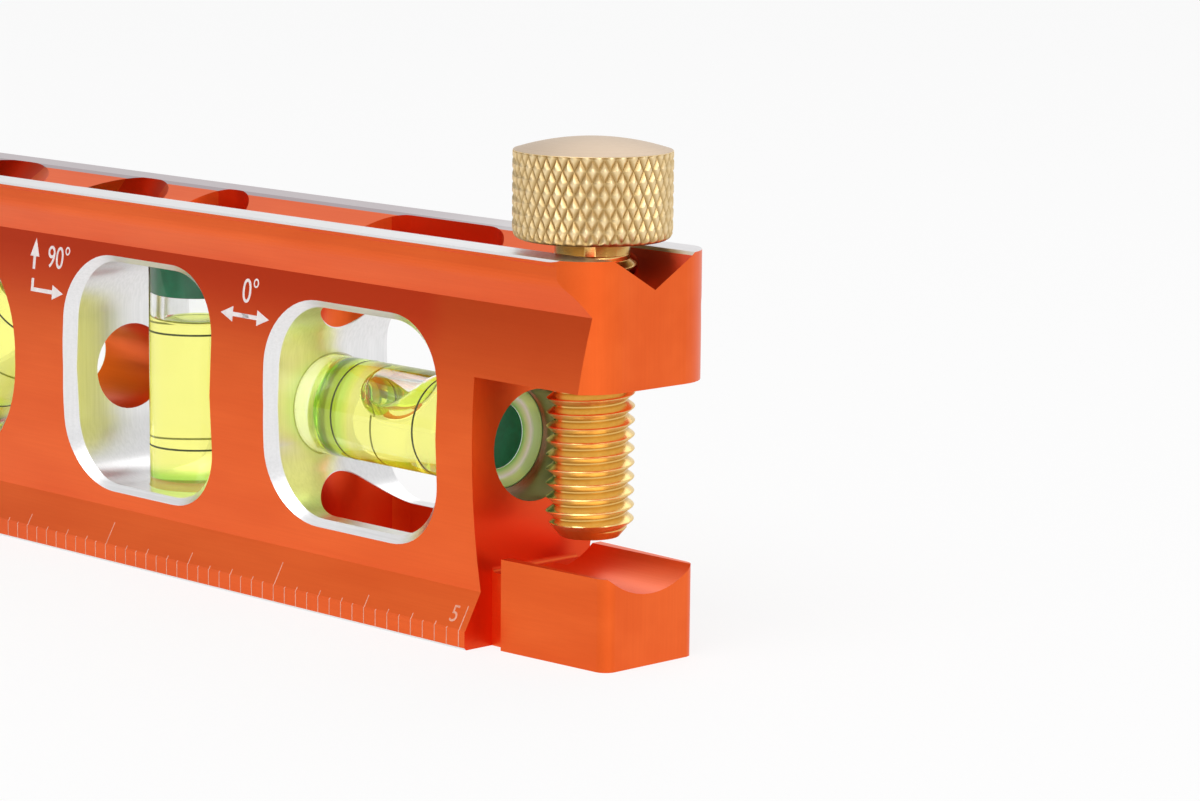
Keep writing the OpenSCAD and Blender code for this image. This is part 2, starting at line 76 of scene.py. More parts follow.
class Value:
    """A socket of a finish. Arithmetic on it adds Math nodes."""

    def __init__(self, finish, socket):
        self.finish, self.socket = finish, socket

    def _math(self, operation, *values):
        return self.finish.node("ShaderNodeMath", {"operation": operation}, dict(enumerate(values)))

    def __add__(self, other):
        return self._math("ADD", self, other)

    def __radd__(self, other):
        return self._math("ADD", other, self)

    def __sub__(self, other):
        return self._math("SUBTRACT", self, other)

    def __rsub__(self, other):
        return self._math("SUBTRACT", other, self)

    def __mul__(self, other):
        return self._math("MULTIPLY", self, other)

    def __rmul__(self, other):
        return self._math("MULTIPLY", other, self)

    def __lt__(self, other):
        return self._math("LESS_THAN", self, other)

    def __gt__(self, other):
        return self._math("GREATER_THAN", self, other)

    def __abs__(self):
        return self._math("ABSOLUTE", self)

    def between(self, low, high):
        """1 where the value lies between two others, else 0."""
        return (self > low) * (self < high)

    def above(self, low):
        """The larger of the value and another."""
        return self._math("MAXIMUM", self, low)

    def below(self, high):
        """The smaller of the value and another."""
        return self._math("MINIMUM", self, high)

    def root(self):
        return self._math("SQRT", self)

    def ramp(self, low, high, start=0.0, end=1.0):
        """Smooth step from start, at low, to end, at high."""
        return self.finish.node("ShaderNodeMapRange", {"interpolation_type": "SMOOTHSTEP"},
                                {0: self, 1: low, 2: high, 3: start, 4: end})


class Finish:
    """Nodes of a material, which read Object coordinates in millimetres, or nodes of the surround."""

    def __init__(self, name, tree=None):
        if tree is None:
            self.material = bpy.data.materials.new(name)
            self.material.use_nodes = True
            tree = self.material.node_tree
        self.tree = tree
        self.tree.nodes.clear()

    def node(self, kind, settings, sockets, out=0):
        """Adds a node, sets its settings, then the values or links of its sockets."""
        made = self.tree.nodes.new(kind)
        for key, value in settings.items():
            if key == "stops":
                ramp = made.color_ramp
                while len(ramp.elements) < len(value):
                    ramp.elements.new(0.5)
                for stop, (place, colour) in zip(ramp.elements, value):
                    stop.position, stop.color = place, colour
            else:
                setattr(made, key, value)
        for key, value in sockets.items():
            if isinstance(value, Value):
                self.tree.links.new(value.socket, made.inputs[key])
            else:
                made.inputs[key].default_value = value
        return Value(self, made.outputs[out]) if made.outputs else None

    def place(self):
        """Object coordinates in millimetres, as a vector and as its three numbers."""
        metres = self.node("ShaderNodeTexCoord", {}, {}, "Object")
        spot = self.node("ShaderNodeVectorMath", {"operation": "SCALE"}, {0: metres, "Scale": 1000.0})
        return spot, [self.node("ShaderNodeSeparateXYZ", {}, {0: spot}, axis) for axis in range(3)]

    def facing(self):
        """The surface's own direction, as its three numbers."""
        normal = self.node("ShaderNodeTexCoord", {}, {}, "Normal")
        return [self.node("ShaderNodeSeparateXYZ", {}, {0: normal}, axis) for axis in range(3)]

    def stretched(self, spot, scale, size, detail=3.0, rough=0.55):
        """Noise of a size, stretched by a scale along each axis."""
        vector = self.node("ShaderNodeVectorMath", {"operation": "MULTIPLY"}, {0: spot, 1: scale})
        return self.node("ShaderNodeTexNoise", {},
                         {"Vector": vector, "Scale": size, "Detail": detail, "Roughness": rough})

    def blend(self, share, first, second):
        """First colour where the share is 0, second where it is 1."""
        return self.node("ShaderNodeMix", {"data_type": "RGBA"}, {0: share, 6: first, 7: second}, 2)

    def bump(self, height, strength, distance):
        """Normal of a height field; distance is in metres."""
        return self.node("ShaderNodeBump", {}, {"Height": height, "Strength": strength, "Distance": distance})

    def surface(self, **sockets):
        """Principled surface, with socket names in lower case and underscores."""
        named = {key.replace("_", " ").title().replace("Ior", "IOR"): value for key, value in sockets.items()}
        return self.node("ShaderNodeBsdfPrincipled", {}, named)

    def done(self, surface):
        self.node("ShaderNodeOutputMaterial", {}, {"Surface": surface})
        return self.material


def window_cuts(x, y, z, ny):
    """1 on the walls of the windows and on the chamfers round them."""
    wall_gap, chamfer_w, chamfer_y = 0.06, 1.25, 5.9
    near_face = (abs(y) > chamfer_y) * (abs(ny) < 0.94)
    cuts = None
    for middle, width, height, corner in WINDOWS:
        qx = abs(x - middle) - (width / 2 - corner)
        qz = abs(z - WEB_Z) - (height / 2 - corner)
        out_x, out_z = qx.above(0.0), qz.above(0.0)
        inside = qx.above(qz).below(0.0)
        reach = (out_x * out_x + out_z * out_z).root() + inside - corner
        cut = (reach < wall_gap).above((reach < chamfer_w) * near_face)
        cuts = cut if cuts is None else cuts.above(cut)
    return cuts


def painted_shade_share(x, y, z, nx, ny, nz):
    """Share of painted shade that turns the orange redder where it mostly faces other orange, standing in for
    light bounced between orange faces: under the rails, in the notch of the nose, low on the throat's wall
    and in the slot in the base."""
    web_face = (abs(y) < WEB_HALF + 0.2) * (abs(ny) > 0.9)
    under_rails = web_face * z.ramp(21.0, 30.0) * x.ramp(49.0, 53.0, 1.0, 0.5)
    notch = (x > THROAT_X - 0.55) * (z > BODY_H - 3.0) * (abs(y) < 4.9) * (nz > 0.3)
    throat_wall = (nx > 0.8) * (x < THROAT_X + 0.3) * z.ramp(8.5, 22.0, 1.0, 0.0)
    slot_walls = (abs(y) < SLOT_HALF) * (z < SLOT_TOP) * x.between(*BASE_SLOT)
    return under_rails.above(notch).above(throat_wall).above(slot_walls)


def body_finish():
    """Orange anodised aluminium with fine mill lines, turned redder by painted shade where it faces other
    orange. The window walls, their chamfers, the rails and the base are bare, and so are the level vial's
    seats and entry bore, which are painted darker as shade in the bore. The far rail is painted darker too,
    as shade, more so at the plain end."""
    f = Finish("anodised_aluminium")
    spot, (x, y, z) = f.place()
    nx, ny, nz = f.facing()
    skin_h = 0.25
    rails = (z > BODY_H - skin_h) * (nz > 0.35)
    base = (z < skin_h) * (nz < -0.35)
    far_rail = (z > BODY_H - 1) * (y > 0) * x.ramp(30, 60, 0.85, 0.2)
    from_axis = (y * y + (z - VIAL_0_Z) * (z - VIAL_0_Z)).root()
    seats = (from_axis < SEAT_R) * x.between(*PLAIN_SEAT).above(x.between(*CLAMP_SEAT))
    entry = (from_axis < ENTRY_R) * (x > SEAT_END_X - 0.1) * (x < THROAT_X - 0.02)
    bare = window_cuts(x, y, z, ny).above(rails).above(base).above(seats).above(entry)

    along = f.stretched(spot, (0.02, 1.0, 1.0), 5.0, 4.0)
    upright = f.stretched(spot, (1.0, 1.0, 0.03), 4.0, 4.0)
    end_face = abs(nx).ramp(0.55, 0.85)
    lines = along + (upright - along) * end_face
    cloud = f.stretched(spot, (0.05, 0.2, 0.2), 1.0, 2.0)
    orange = f.blend(cloud.ramp(0.3, 0.7), (0.84, 0.118, 0.014, 1), (0.90, 0.140, 0.020, 1))
    orange = f.blend(lines.ramp(0.35, 0.65, 0.0, 0.12), orange, (0.74, 0.085, 0.008, 1))
    # Painted shade: the orange is written redder where it faces other orange
    orange = f.blend(painted_shade_share(x, y, z, nx, ny, nz), orange, (0.78, 0.056, 0.006, 1))
    silver = f.blend(lines.ramp(0.3, 0.7), (0.80, 0.80, 0.80, 1), (0.88, 0.875, 0.88, 1))
    # Painted shade: the far rail is written darker, more so towards the plain end
    silver = f.blend(far_rail, silver, (0.42, 0.34, 0.36, 1))
    # Painted shade in the bore: the seats and the entry bore are written darker
    silver = f.blend(seats, silver, (0.56, 0.53, 0.42, 1))
    silver = f.blend(entry, silver, (0.50, 0.40, 0.30, 1))
    colour = f.blend(bare, orange, silver)
    rough = 0.34 + bare * -0.08 + lines * 0.06
    normal = f.bump(lines, 0.10, 0.00004)
    return f.done(f.surface(base_color=colour, metallic=0.92 + bare * 0.08, roughness=rough, normal=normal,
                            coat_weight=0.12 - bare * 0.12, coat_roughness=0.3))


def knob_finish():
    """Satin brass: fine turning lines on the domed top, which is written darker than the knurl, partly for
    its satin finish and partly as painted shade; the knurl's edges are bright and its roots are darkened
    by painted shade.
    """
    f = Finish("knurled_brass")
    spot, (x, y, z) = f.place()
    from_axis = ((x - SCREW_X) * (x - SCREW_X) + y * y).root()
    rings = f.node("ShaderNodeTexNoise", {"noise_dimensions": "1D"},
                   {"W": from_axis, "Scale": 9.0, "Detail": 3.0})
    grain = f.stretched(spot, (1.0, 1.0, 1.0), 2.4, 4.0)
    depth = from_axis.ramp(6.72, 6.99)
    side = (z < 44.3)
    pale = f.blend(grain.ramp(0.3, 0.7), (0.83, 0.62, 0.32, 1), (0.93, 0.74, 0.44, 1))
    # Painted shade: the knurl's roots are written darker than its crests
    root = f.blend(depth, (0.50, 0.33, 0.13, 1), pale)
    # The dome is written darker than the knurl, partly for its satin finish and partly as painted shade
    dome = f.blend(rings.ramp(0.3, 0.7), (0.52, 0.40, 0.29, 1), (0.57, 0.45, 0.33, 1))
    colour = f.blend(side, dome, root)
    height = rings * (1 - side) + grain * side * 2
    return f.done(f.surface(base_color=colour, metallic=1.0, roughness=0.42 - side * 0.06 + grain * 0.06,
                            normal=f.bump(height, 0.25, 0.00003)))


def stud_finish():
    """Golden turned brass: smooth upper flanks; rougher lower flanks that are painted darker as shade; and
    the thread's roots painted darker and browner as shade."""
    f = Finish("threaded_brass")
    spot, (x, y, z) = f.place()
    from_axis = ((x - SCREW_X) * (x - SCREW_X) + y * y).root()
    grain = f.stretched(spot, (1.0, 1.0, 6.0), 2.0, 4.0)
    _, _, nz = f.facing()
    deep = from_axis.ramp(3.22, 3.5)
    under = (nz < -0.2)
    bright = f.blend(grain.ramp(0.3, 0.7), (0.95, 0.66, 0.24, 1), (0.97, 0.73, 0.32, 1))
    # Painted shade: the flanks that face down are written darker
    painted_shade_flank = f.blend(grain.ramp(0.3, 0.7), (0.74, 0.49, 0.17, 1), (0.86, 0.62, 0.27, 1))
    # Painted shade: the thread's roots are written darker and browner
    colour = f.blend(deep, (0.76, 0.47, 0.14, 1), f.blend(under, bright, painted_shade_flank))
    return f.done(f.surface(base_color=colour, metallic=1.0, roughness=0.20 + grain * 0.10 + under * 0.16,
                            normal=f.bump(grain, 0.2, 0.00003)))


def acrylic_finish():
    """Clear polished acrylic with a faint cloudiness. The sawn end is frosted, with the green of the plug behind
    it painted in rings, a painted highlight ring near its brim and a faint painted glow. The solid closed end
    is tinted yellow-green with a painted glow, standing in for the light of the spirit."""
    f = Finish("clear_acrylic")
    spot, _ = f.place()
    haze = f.stretched(spot, (1.0, 1.0, 1.0), 0.6, 2.0)
    sawn, across, closed = (f.node("ShaderNodeAttribute", {"attribute_name": name}, {}, "Fac")
                            for name in ("sawn", "across", "closed"))
    clear = f.surface(base_color=f.blend(haze, (0.97, 0.99, 0.97, 1), (1.0, 1.0, 1.0, 1)), ior=1.49,
                      transmission_weight=1.0, roughness=0.01 + haze * 0.02)
    # Painted rings: the plug's green as seen through the end, and a white painted highlight ring
    rings = f.node("ShaderNodeValToRGB", {"stops": [
        (0.64, (0.02, 0.42, 0.10, 1)), (0.70, (0.30, 0.66, 0.18, 1)), (0.76, (0.60, 0.80, 0.36, 1)),
        (0.825, (0.90, 0.92, 0.88, 1)), (0.87, (0.62, 0.82, 0.34, 1)), (0.99, (0.46, 0.66, 0.20, 1))]},
        {0: across + haze * 0.03})
    # The sawn end also carries a faint painted glow
    milky_end_and_painted_light = f.surface(base_color=rings, roughness=0.4, emission_color=rings, emission_strength=0.2)
    # Painted glow: the closed end's yellow-green stands in for the light of the spirit
    painted_glow_end = f.surface(base_color=(0.84, 0.90, 0.30, 1), ior=1.49, transmission_weight=0.6, roughness=0.2,
                    emission_color=(0.60, 0.66, 0.08, 1), emission_strength=0.3)
    tube = f.node("ShaderNodeMixShader", {}, {0: closed * 0.6, 1: clear, 2: painted_glow_end})
    return f.done(f.node("ShaderNodeMixShader", {}, {0: sawn * 0.9, 1: tube, 2: milky_end_and_painted_light}))


def fluid_finish():
    """Yellow-green spirit with a faint painted glow; it is greener at the closed end, and so is its painted
    glow. Its edge bends no light.
    """
    f = Finish("yellow_green_spirit")
    spot, _ = f.place()
    cloud = f.stretched(spot, (1.0, 1.0, 1.0), 0.25, 2.0)
    cleared, ended = (f.node("ShaderNodeAttribute", {"attribute_name": name}, {}, "Fac")
                      for name in ("cleared", "ended"))
    tint = f.blend(cloud, (0.80, 0.78, 0.22, 1), (0.84, 0.81, 0.27, 1))
    tint = f.blend(ended, tint, (0.42, 0.72, 0.12, 1))
    # Painted glow, left out where the air clears the spirit and greener at the closed end
    glow = f.blend(cleared, (0.62, 0.62, 0.06, 1), (0.0, 0.0, 0.0, 1))
    glow = f.blend(ended, glow, (0.26, 0.50, 0.05, 1))
    return f.done(f.surface(base_color=f.blend(cleared, tint, (1, 1, 1, 1)), ior=1.0, transmission_weight=1.0,
                            roughness=0.0, emission_color=glow, emission_strength=0.16))


def bubble_finish():
    """Edge of the air in the spirit: clear where it touches the barrel, tinted where it touches the
    spirit."""
    f = Finish("bubble_edge")
    cleared = f.node("ShaderNodeAttribute", {"attribute_name": "cleared"}, {}, "Fac")
    return f.done(f.surface(base_color=f.blend(cleared, (0.72, 0.92, 0.25, 1), (1, 1, 1, 1)), ior=1.4,
                            transmission_weight=1.0, roughness=0.0))


def moulded_finish(name, dark, light, rough):
    """Moulded plastic or printed ink with a fine grain, between two close colours."""
    f = Finish(name)
    spot, _ = f.place()
    grain = f.stretched(spot, (1.0, 1.0, 1.0), 1.5, 3.0)
    return f.done(f.surface(base_color=f.blend(grain.ramp(0.3, 0.7), dark, light),
                            roughness=rough + grain * 0.1, normal=f.bump(grain, 0.1, 0.00003)))


def magnet_finish():
    """Bright nickel plate with faint rubbed marks."""
    f = Finish("nickel_plate")
    spot, _ = f.place()
    marks = f.stretched(spot, (0.3, 2.0, 1.0), 1.5, 4.0)
    nickel = f.blend(marks.ramp(0.3, 0.7), (0.60, 0.59, 0.57, 1), (0.74, 0.73, 0.71, 1))
    return f.done(f.surface(base_color=nickel, metallic=1.0, roughness=0.18 + marks * 0.2,
                            normal=f.bump(marks, 0.1, 0.00002)))


# Meshes

def skin(name, points, faces, finish, body, sharp=35.0, shares=None, flip=False):
    """Piece from points in millimetres and faces, smooth but for edges sharper than an angle. Doubles are
    merged, and each named share is kept as an attribute of the points."""
    mesh = bpy.data.meshes.new(name)
    mesh.from_pydata((np.asarray(points, float) * MM).tolist(), [], np.asarray(faces).tolist())
    for share, values in (shares or {}).items():
        kept = mesh.attributes.new(share, "FLOAT", "POINT")
        kept.data.foreach_set("value", np.asarray(values, np.float32).ravel())
    work = bmesh.new()
    work.from_mesh(mesh)
    bmesh.ops.remove_doubles(work, verts=work.verts, dist=1e-7)
    bmesh.ops.dissolve_degenerate(work, edges=work.edges, dist=1e-8)
    if flip:
        bmesh.ops.reverse_faces(work, faces=work.faces)
    work.to_mesh(mesh)
    work.free()
    mesh.shade_smooth()
    mesh.set_sharp_from_angle(angle=math.radians(sharp))
    piece = bpy.data.objects.new(name, mesh)
    bpy.context.scene.collection.objects.link(piece)
    mesh.materials.append(finish)
    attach(piece, body)
    return piece


def grid_faces(rows, columns, shift=0):
    """Quads of a grid that is closed round its columns; the seam joins each row to the one shift rows on."""
    index = np.arange(rows * columns).reshape(rows, columns)
    after = np.full((rows, columns), -1)
    after[:, :-1] = index[:, 1:]
    after[: rows - shift, -1] = index[shift:, 0]
    quads = np.stack([index[:-1], after[:-1], after[1:], index[1:]], axis=-1).reshape(-1, 4)
    return quads[(quads >= 0).all(axis=1)]


def turned(profile, turn):
    """Points of a profile of radius and height at each angle of a turn round Z."""
    profile = np.asarray(profile, float)
    r, h = profile[:, :1], profile[:, 1:]
    return np.stack([r * np.cos(turn), r * np.sin(turn), h + 0 * turn], axis=-1)


def placed(points, vial):
    """Points of a vial's own frame, tilted about Y and moved to the vial's middle."""
    x, z, tilt = VIALS[vial]
    t = math.radians(tilt)
    px, py, pz = points[..., 0], points[..., 1], points[..., 2]
    moved_x = x + px * math.cos(t) + pz * math.sin(t)
    moved_z = z - px * math.sin(t) + pz * math.cos(t)
    return np.stack([moved_x, py, moved_z], axis=-1)


def arc(middle, radius, start, end, steps):
    """Points of a circle's arc in radius and height, with angles in degrees."""
    a = np.radians(np.linspace(start, end, steps))
    return np.stack([middle[0] + radius * np.cos(a), middle[1] + radius * np.sin(a)], axis=-1)


def make_knob(finish):
    """Knob turned from a profile. Its side is cut by two crossing sets of helical grooves: the height of
    the knurl is the smaller of two triangle waves, one of 40 turns plus height, the other of 40 turns
    minus height, each over 2.1 mm, and it is cut off flat at the top."""
    low, high = (np.array(c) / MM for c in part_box("thumb_knob"))
    radius, bottom = (high[0] - low[0]) / 2, low[2]
    apex = high[2]
    dome_h, edge, rim = 1.05, 0.8, 0.18
    top = apex - dome_h
    socket_r, socket_h = 3.32, 4.52
    diamonds, diamond_h, knurl_d, flat_at = 40, 2.1, 0.27, 0.7
    side_rows, dome_rows = 68, 16
    columns = diamonds * 12
    turn = np.linspace(0, 2 * math.pi, columns, endpoint=False)
    side = np.stack([np.full(side_rows, radius), np.linspace(bottom + edge, top - rim, side_rows)], axis=-1)
    dome_r = (radius - rim) ** 2 / (2 * dome_h) + dome_h / 2
    rim_r = np.linspace(radius - rim, 0, dome_rows)
    dome = np.stack([rim_r, apex - dome_r + np.sqrt(dome_r ** 2 - rim_r ** 2)], axis=-1)
    profile = np.concatenate([
        [(0, bottom + socket_h), (socket_r, bottom + socket_h), (socket_r, bottom)],
        arc((radius - edge, bottom + edge), edge, -90, 0, 9)[:-1], side,
        arc((radius - rim, top - rim), rim, 0, 90, 4)[1:-1], dome,
    ])
    points = turned(profile, turn)
    h = profile[:, 1:]
    around = diamonds * turn / (2 * math.pi)
    first = np.abs(2 * np.mod(around + h / diamond_h, 1) - 1)
    second = np.abs(2 * np.mod(around - h / diamond_h, 1) - 1)
    lift = np.minimum(1 - first, 1 - second).clip(0, flat_at) / flat_at
    knurled = np.clip((profile[:, :1] - (radius - edge * 0.75)) / (edge * 0.7), 0, 1) * (h < top - rim / 2)
    scale = 1 - knurled * knurl_d / radius * (1 - lift)
    points[..., :2] *= scale[..., None]
    points[..., 0] += SCREW_X
    piece = skin("knurled_knob", points.reshape(-1, 3), grid_faces(*points.shape[:2]), finish,
                 "knob", 28.0)
    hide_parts("thumb_knob")


def make_stud(finish):
    """Stud whose rows follow the thread: height is the row's plus a pitch of 1.25 mm a turn, and the
    radius falls from a rounded crest along straight flanks to the root. A cone limits it at the tip, and
    it runs out into the plain neck."""
    low, high = (np.array(c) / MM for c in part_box("screw_stud"))
    crest, pitch, thread_d = (high[0] - low[0]) / 2, 1.25, 0.68
    neck, neck_top, run_out = 3.3, 5.7, 0.7
    tip, top = low[2], high[2] - neck_top
    cone_r, cone_rise = 2.62, 0.85
    per_turn, columns = 20, 112
    turn = np.linspace(0, 2 * math.pi, columns, endpoint=False)
    seen_crest_z = 21.9
    crest_z = seen_crest_z - pitch * math.radians(CAMERA_AZ) / (2 * math.pi)
    start = crest_z - pitch * math.ceil((crest_z - tip) / pitch + 1.01)
    rows = per_turn * (math.ceil((top - start) / pitch) + 2)
    step = np.arange(rows)[:, None] / per_turn
    from_crest = 2 * np.abs(np.mod(step + 0.5, 1) - 0.5) + 0 * turn
    z = start + pitch * (step + turn / (2 * math.pi))
    bend = 0.12
    flank = (from_crest - 0.5 * bend) / (1 - 1.6 * bend)
    flank = np.where(flank < bend, np.maximum(flank + bend, 0) ** 2 / (4 * bend), flank)
    r = crest - thread_d * np.minimum(flank, 1)
    fade = np.clip((top - z) / run_out, 0, 1)
    r = neck + (r - neck) * fade
    z = np.clip(z, tip, top)
    r = np.minimum(r, cone_r + cone_rise * (z - tip))
    r = np.where(z >= top, neck, r)
    thread = np.stack([r * np.cos(turn), r * np.sin(turn), z], axis=-1)
    caps = [turned([(0, tip), (cone_r, tip)], turn),
            turned([(neck, top), (neck, high[2]), (0, high[2])], turn)]
    points, faces = [thread.reshape(-1, 3)], [grid_faces(rows, columns, per_turn)]
    for cap in caps:
        faces.append(grid_faces(*cap.shape[:2]) + sum(len(p) for p in points))
        points.append(cap.reshape(-1, 3))
    points = np.concatenate(points) + (SCREW_X, 0, 0)
    piece = skin("threaded_stud", points, np.concatenate(faces), finish, "stud", 40.0)
    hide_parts("screw_stud")


def bore_radius(s):
    """Radius of the crowned bore at a distance from its middle: a circle's arc from the wide middle to
    the ends."""
    crown = BORE_R - BORE_END_R
    arc_r = (FLUID_HIGH ** 2 + crown ** 2) / (2 * crown)
    return BORE_R - arc_r + np.sqrt(arc_r ** 2 - s ** 2)


def air_shape(vial):
    """Closed surface of the air in a vial, and where it touches the barrel. It is an ellipsoid whose
    points are held inside the bore. In the tilted and upright vials it lies at the upper end, and its
    points stop at the plug."""
    gap = 0.03
    u = np.linspace(0, math.pi, 49)[:, None]
    v = np.linspace(0, 2 * math.pi, 64, endpoint=False)
    ball = np.stack([np.sin(u) * np.cos(v), np.sin(u) * np.sin(v), -np.cos(u) + 0 * v], axis=-1)
    tilt = VIALS[vial][2]
    if tilt == 90:
        middle, half = np.array([-1.75, 0, 0]), np.array([2.15, 2.95, 4.5])
    elif tilt == 0:
        middle, half = np.array([0, 0, FLUID_HIGH]), np.array([5.0, 5.0, 3.0])
    else:
        middle, half = np.array([-1.6, 0, 8.6]), np.array([2.3, 3.4, 2.9])
    p = ball * half + middle
    p[..., 2] = np.minimum(p[..., 2], FLUID_HIGH - gap)
    reach = np.hypot(p[..., 0], p[..., 1])
    limit = bore_radius(p[..., 2]) - gap
    held = reach > limit
    p[..., :2] *= np.where(held, limit / np.maximum(reach, 1e-6), 1)[..., None]
    return p, held


def make_vial(vial, clear, spirit, edge):
    """Vial as three nested closed skins: the barrel turned from its outline, the spirit filling the
    crowned bore, and the air."""
    turn = np.linspace(0, 2 * math.pi, 96, endpoint=False)
    corner, brim = 0.7, 0.2
    # The sawn end inside its brim: radius and depth of each point of the countersink, then the plug's face
    sawn_end = np.array([(3.92, 0.5), (3.88, 0.6), (3.42, 0.88), (BORE_END_R, 0.93),
                         (BORE_END_R, PLUG_RECESS + 0.03), (0, PLUG_RECESS + 0.03)])
    outline = np.concatenate([
        [(0, VIAL_LOW)], arc((VIAL_R - corner, VIAL_LOW + corner), corner, -90, 0, 8),
        [(VIAL_R, VIAL_LOW + 2 * corner), (VIAL_R, FLUID_LOW - 0.2), (VIAL_R, FLUID_LOW + 0.4)],
        arc((VIAL_R - brim, VIAL_HIGH - brim), brim, 0, 90, 5), sawn_end * (1, -1) + (0, VIAL_HIGH),
    ])
    points = turned(outline, turn)
    across, height = np.hypot(points[..., 0], points[..., 1]), points[..., 2]
    sawn = (height > VIAL_HIGH - 0.94) & (across < VIAL_R - 0.05)
    closed = (np.clip((FLUID_LOW + 0.4 - height) / 0.6, 0, 1)
              * np.clip((height - VIAL_LOW - corner) / corner, 0, 1))
    points = placed(points, vial)
    barrel = skin(vial + "_clear_barrel", points.reshape(-1, 3), grid_faces(*points.shape[:2]), clear,
                  "level", shares={"sawn": sawn, "across": across / VIAL_R, "closed": closed})
    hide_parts(vial + "_barrel")

    s = np.linspace(FLUID_LOW, FLUID_HIGH, 73)
    profile = np.concatenate([[(0, FLUID_LOW)], np.stack([bore_radius(s), s], axis=-1), [(0, FLUID_HIGH)]])
    points = turned(profile, turn)
    air, held = air_shape(vial)
    near = air[held]
    flat = points.reshape(-1, 3)
    cleared = np.zeros(len(flat))
    if len(near):
        batch, touching = 512, 0.2
        gap = np.concatenate([np.min(np.linalg.norm(flat[i:i + batch, None] - near[None], axis=-1), axis=1)
                              for i in range(0, len(flat), batch)])
        cleared = (gap < touching).astype(float)
    green_l = 1.2
    ended = np.clip((FLUID_LOW + green_l - flat[:, 2]) / green_l, 0, 1)
    points = placed(points, vial)
    body = skin(vial + "_spirit", points.reshape(-1, 3), grid_faces(*points.shape[:2]), spirit,
                "level", shares={"cleared": cleared, "ended": ended})
    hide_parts(vial + "_fluid")
    air = placed(air, vial)
    skin(vial + "_bubble", air.reshape(-1, 3), grid_faces(*air.shape[:2]), edge, "level", 60.0,
         shares={"cleared": held.astype(float)}, flip=True)


# Ruler and legends

def web_half(z):
    """Half of the web's thickness at a height: it bulges with a radius of 75 mm."""
    return WEB_HALF - WEB_R + np.sqrt(WEB_R ** 2 - (z - WEB_Z) ** 2)


SLOPE_FOOT = np.array([-HALF_W + STEP, BAND_H])
SLOPE_HEAD = np.array([-web_half(SLOPE_TOP), SLOPE_TOP])
SLOPE_RUN = SLOPE_HEAD - SLOPE_FOOT
SLOPE_OUT = np.array([-SLOPE_RUN[1], SLOPE_RUN[0]]) / np.linalg.norm(SLOPE_RUN)
TICK_COUNT = 80
# Share of the slope that a tick reaches up: for every tick, every second, fourth, eighth and sixteenth
TICK_SHARES = ((1, 0.001), (2, 0.07), (4, 0.12), (8, 0.3), (16, 0.6))


def make_ticks(ink):
    """Ruler ticks, 1/16 in apart, as thin box strips: up the band, over its edge and up the slope."""
    tick_w, tick_d, tick_low = 0.1, 0.028, 0.22
    number = np.arange(TICK_COUNT)
    share = np.zeros(TICK_COUNT)
    for every, reach in TICK_SHARES:
        share[number % every == 0] = reach
    path = np.zeros((TICK_COUNT, 4, 2))
    path[:, 0] = (-HALF_W, tick_low)
    path[:, 1] = (-HALF_W, BAND_H - STEP)
    path[:, 2] = SLOPE_FOOT
    path[:, 3] = SLOPE_FOOT + share[:, None] * SLOPE_RUN
    out = np.array([(-1, 0), (-0.92, 0.38), SLOPE_OUT, SLOPE_OUT])
    side = np.array([-1, 1, 1, -1]) * tick_w / 2
    rise = np.array([1, 1, -1, -1]) * tick_d / 2
    x = (RULER_END_X - TICK_PITCH * number)[:, None, None] + side
    yz = path[:, :, None, :] + rise[:, None] * out[:, None, :]
    ring = np.concatenate([np.broadcast_to(x, (TICK_COUNT, 4, 4))[..., None], yz], axis=-1)
    strip = [[4 * i + j, 4 * i + (j + 1) % 4, 4 * i + 4 + (j + 1) % 4, 4 * i + 4 + j]
             for i in range(3) for j in range(4)]
    strip = np.array(strip + [[3, 2, 1, 0], [12, 13, 14, 15]])
    faces = (strip + 16 * number[:, None, None]).reshape(-1, 4)
    skin("ruler_ticks", ring.reshape(-1, 3), faces, ink, "level", 20.0)


def lettering(text):
    """Points and faces of a text, 1 high and centred, as a thin slab of half thickness 1."""
    curve = bpy.data.curves.new("lettering", "FONT")
    curve.body, curve.align_x, curve.extrude = text, "CENTER", 1.0
    made = bpy.data.objects.new("lettering", curve)
    bpy.context.scene.collection.objects.link(made)
    bpy.context.view_layer.update()
    mesh = bpy.data.meshes.new_from_object(made.evaluated_get(bpy.context.evaluated_depsgraph_get()))
    co = np.zeros(len(mesh.vertices) * 3)
    mesh.vertices.foreach_get("co", co)
    co = co.reshape(-1, 3)
    faces = [list(p.vertices) for p in mesh.polygons]
    bpy.data.objects.remove(made)
    bpy.data.meshes.remove(mesh)
    bpy.data.curves.remove(curve)
    low, high = co.min(0), co.max(0)
    co[:, :2] = (co[:, :2] - (low[:2] + high[:2]) / 2) / (high[1] - low[1])
    return co, faces


def on_web(flat, depth):
    """Flat points, given along X and up, laid on the front of the web. A depth of 1 moves them 0.018 mm
    out of it, and a depth of -1 moves them 0.006 mm in."""
    x, z = flat[:, 0], flat[:, 1]
    return np.stack([x, -web_half(z) - 0.006 - 0.012 * depth, z], axis=-1)


def arrow(tail, head, half=0.2, head_half=0.72, head_l=1.75):
    """Outline of an arrow from its tail to its head, as seven points."""
    tail, head = np.array(tail, float), np.array(head, float)
    along = (head - tail) / np.linalg.norm(head - tail)
    across = np.array([-along[1], along[0]])
    neck = head - along * head_l
    return [tail + across * half, tail - across * half, neck - across * half, neck - across * head_half,
            head, neck + across * head_half, neck + across * half]


def slab(outline):
    """An outline as a closed slab between depths -1 and 1."""
    outline = np.array(outline)
    n = len(outline)
    ring = np.arange(n)
    after = (ring + 1) % n
    co = np.concatenate([np.column_stack([outline, np.ones(n)]), np.column_stack([outline, -np.ones(n)])])
    walls = np.stack([ring, ring + n, after + n, after], axis=-1).tolist()
    return co, [ring.tolist(), (ring[::-1] + n).tolist()] + walls


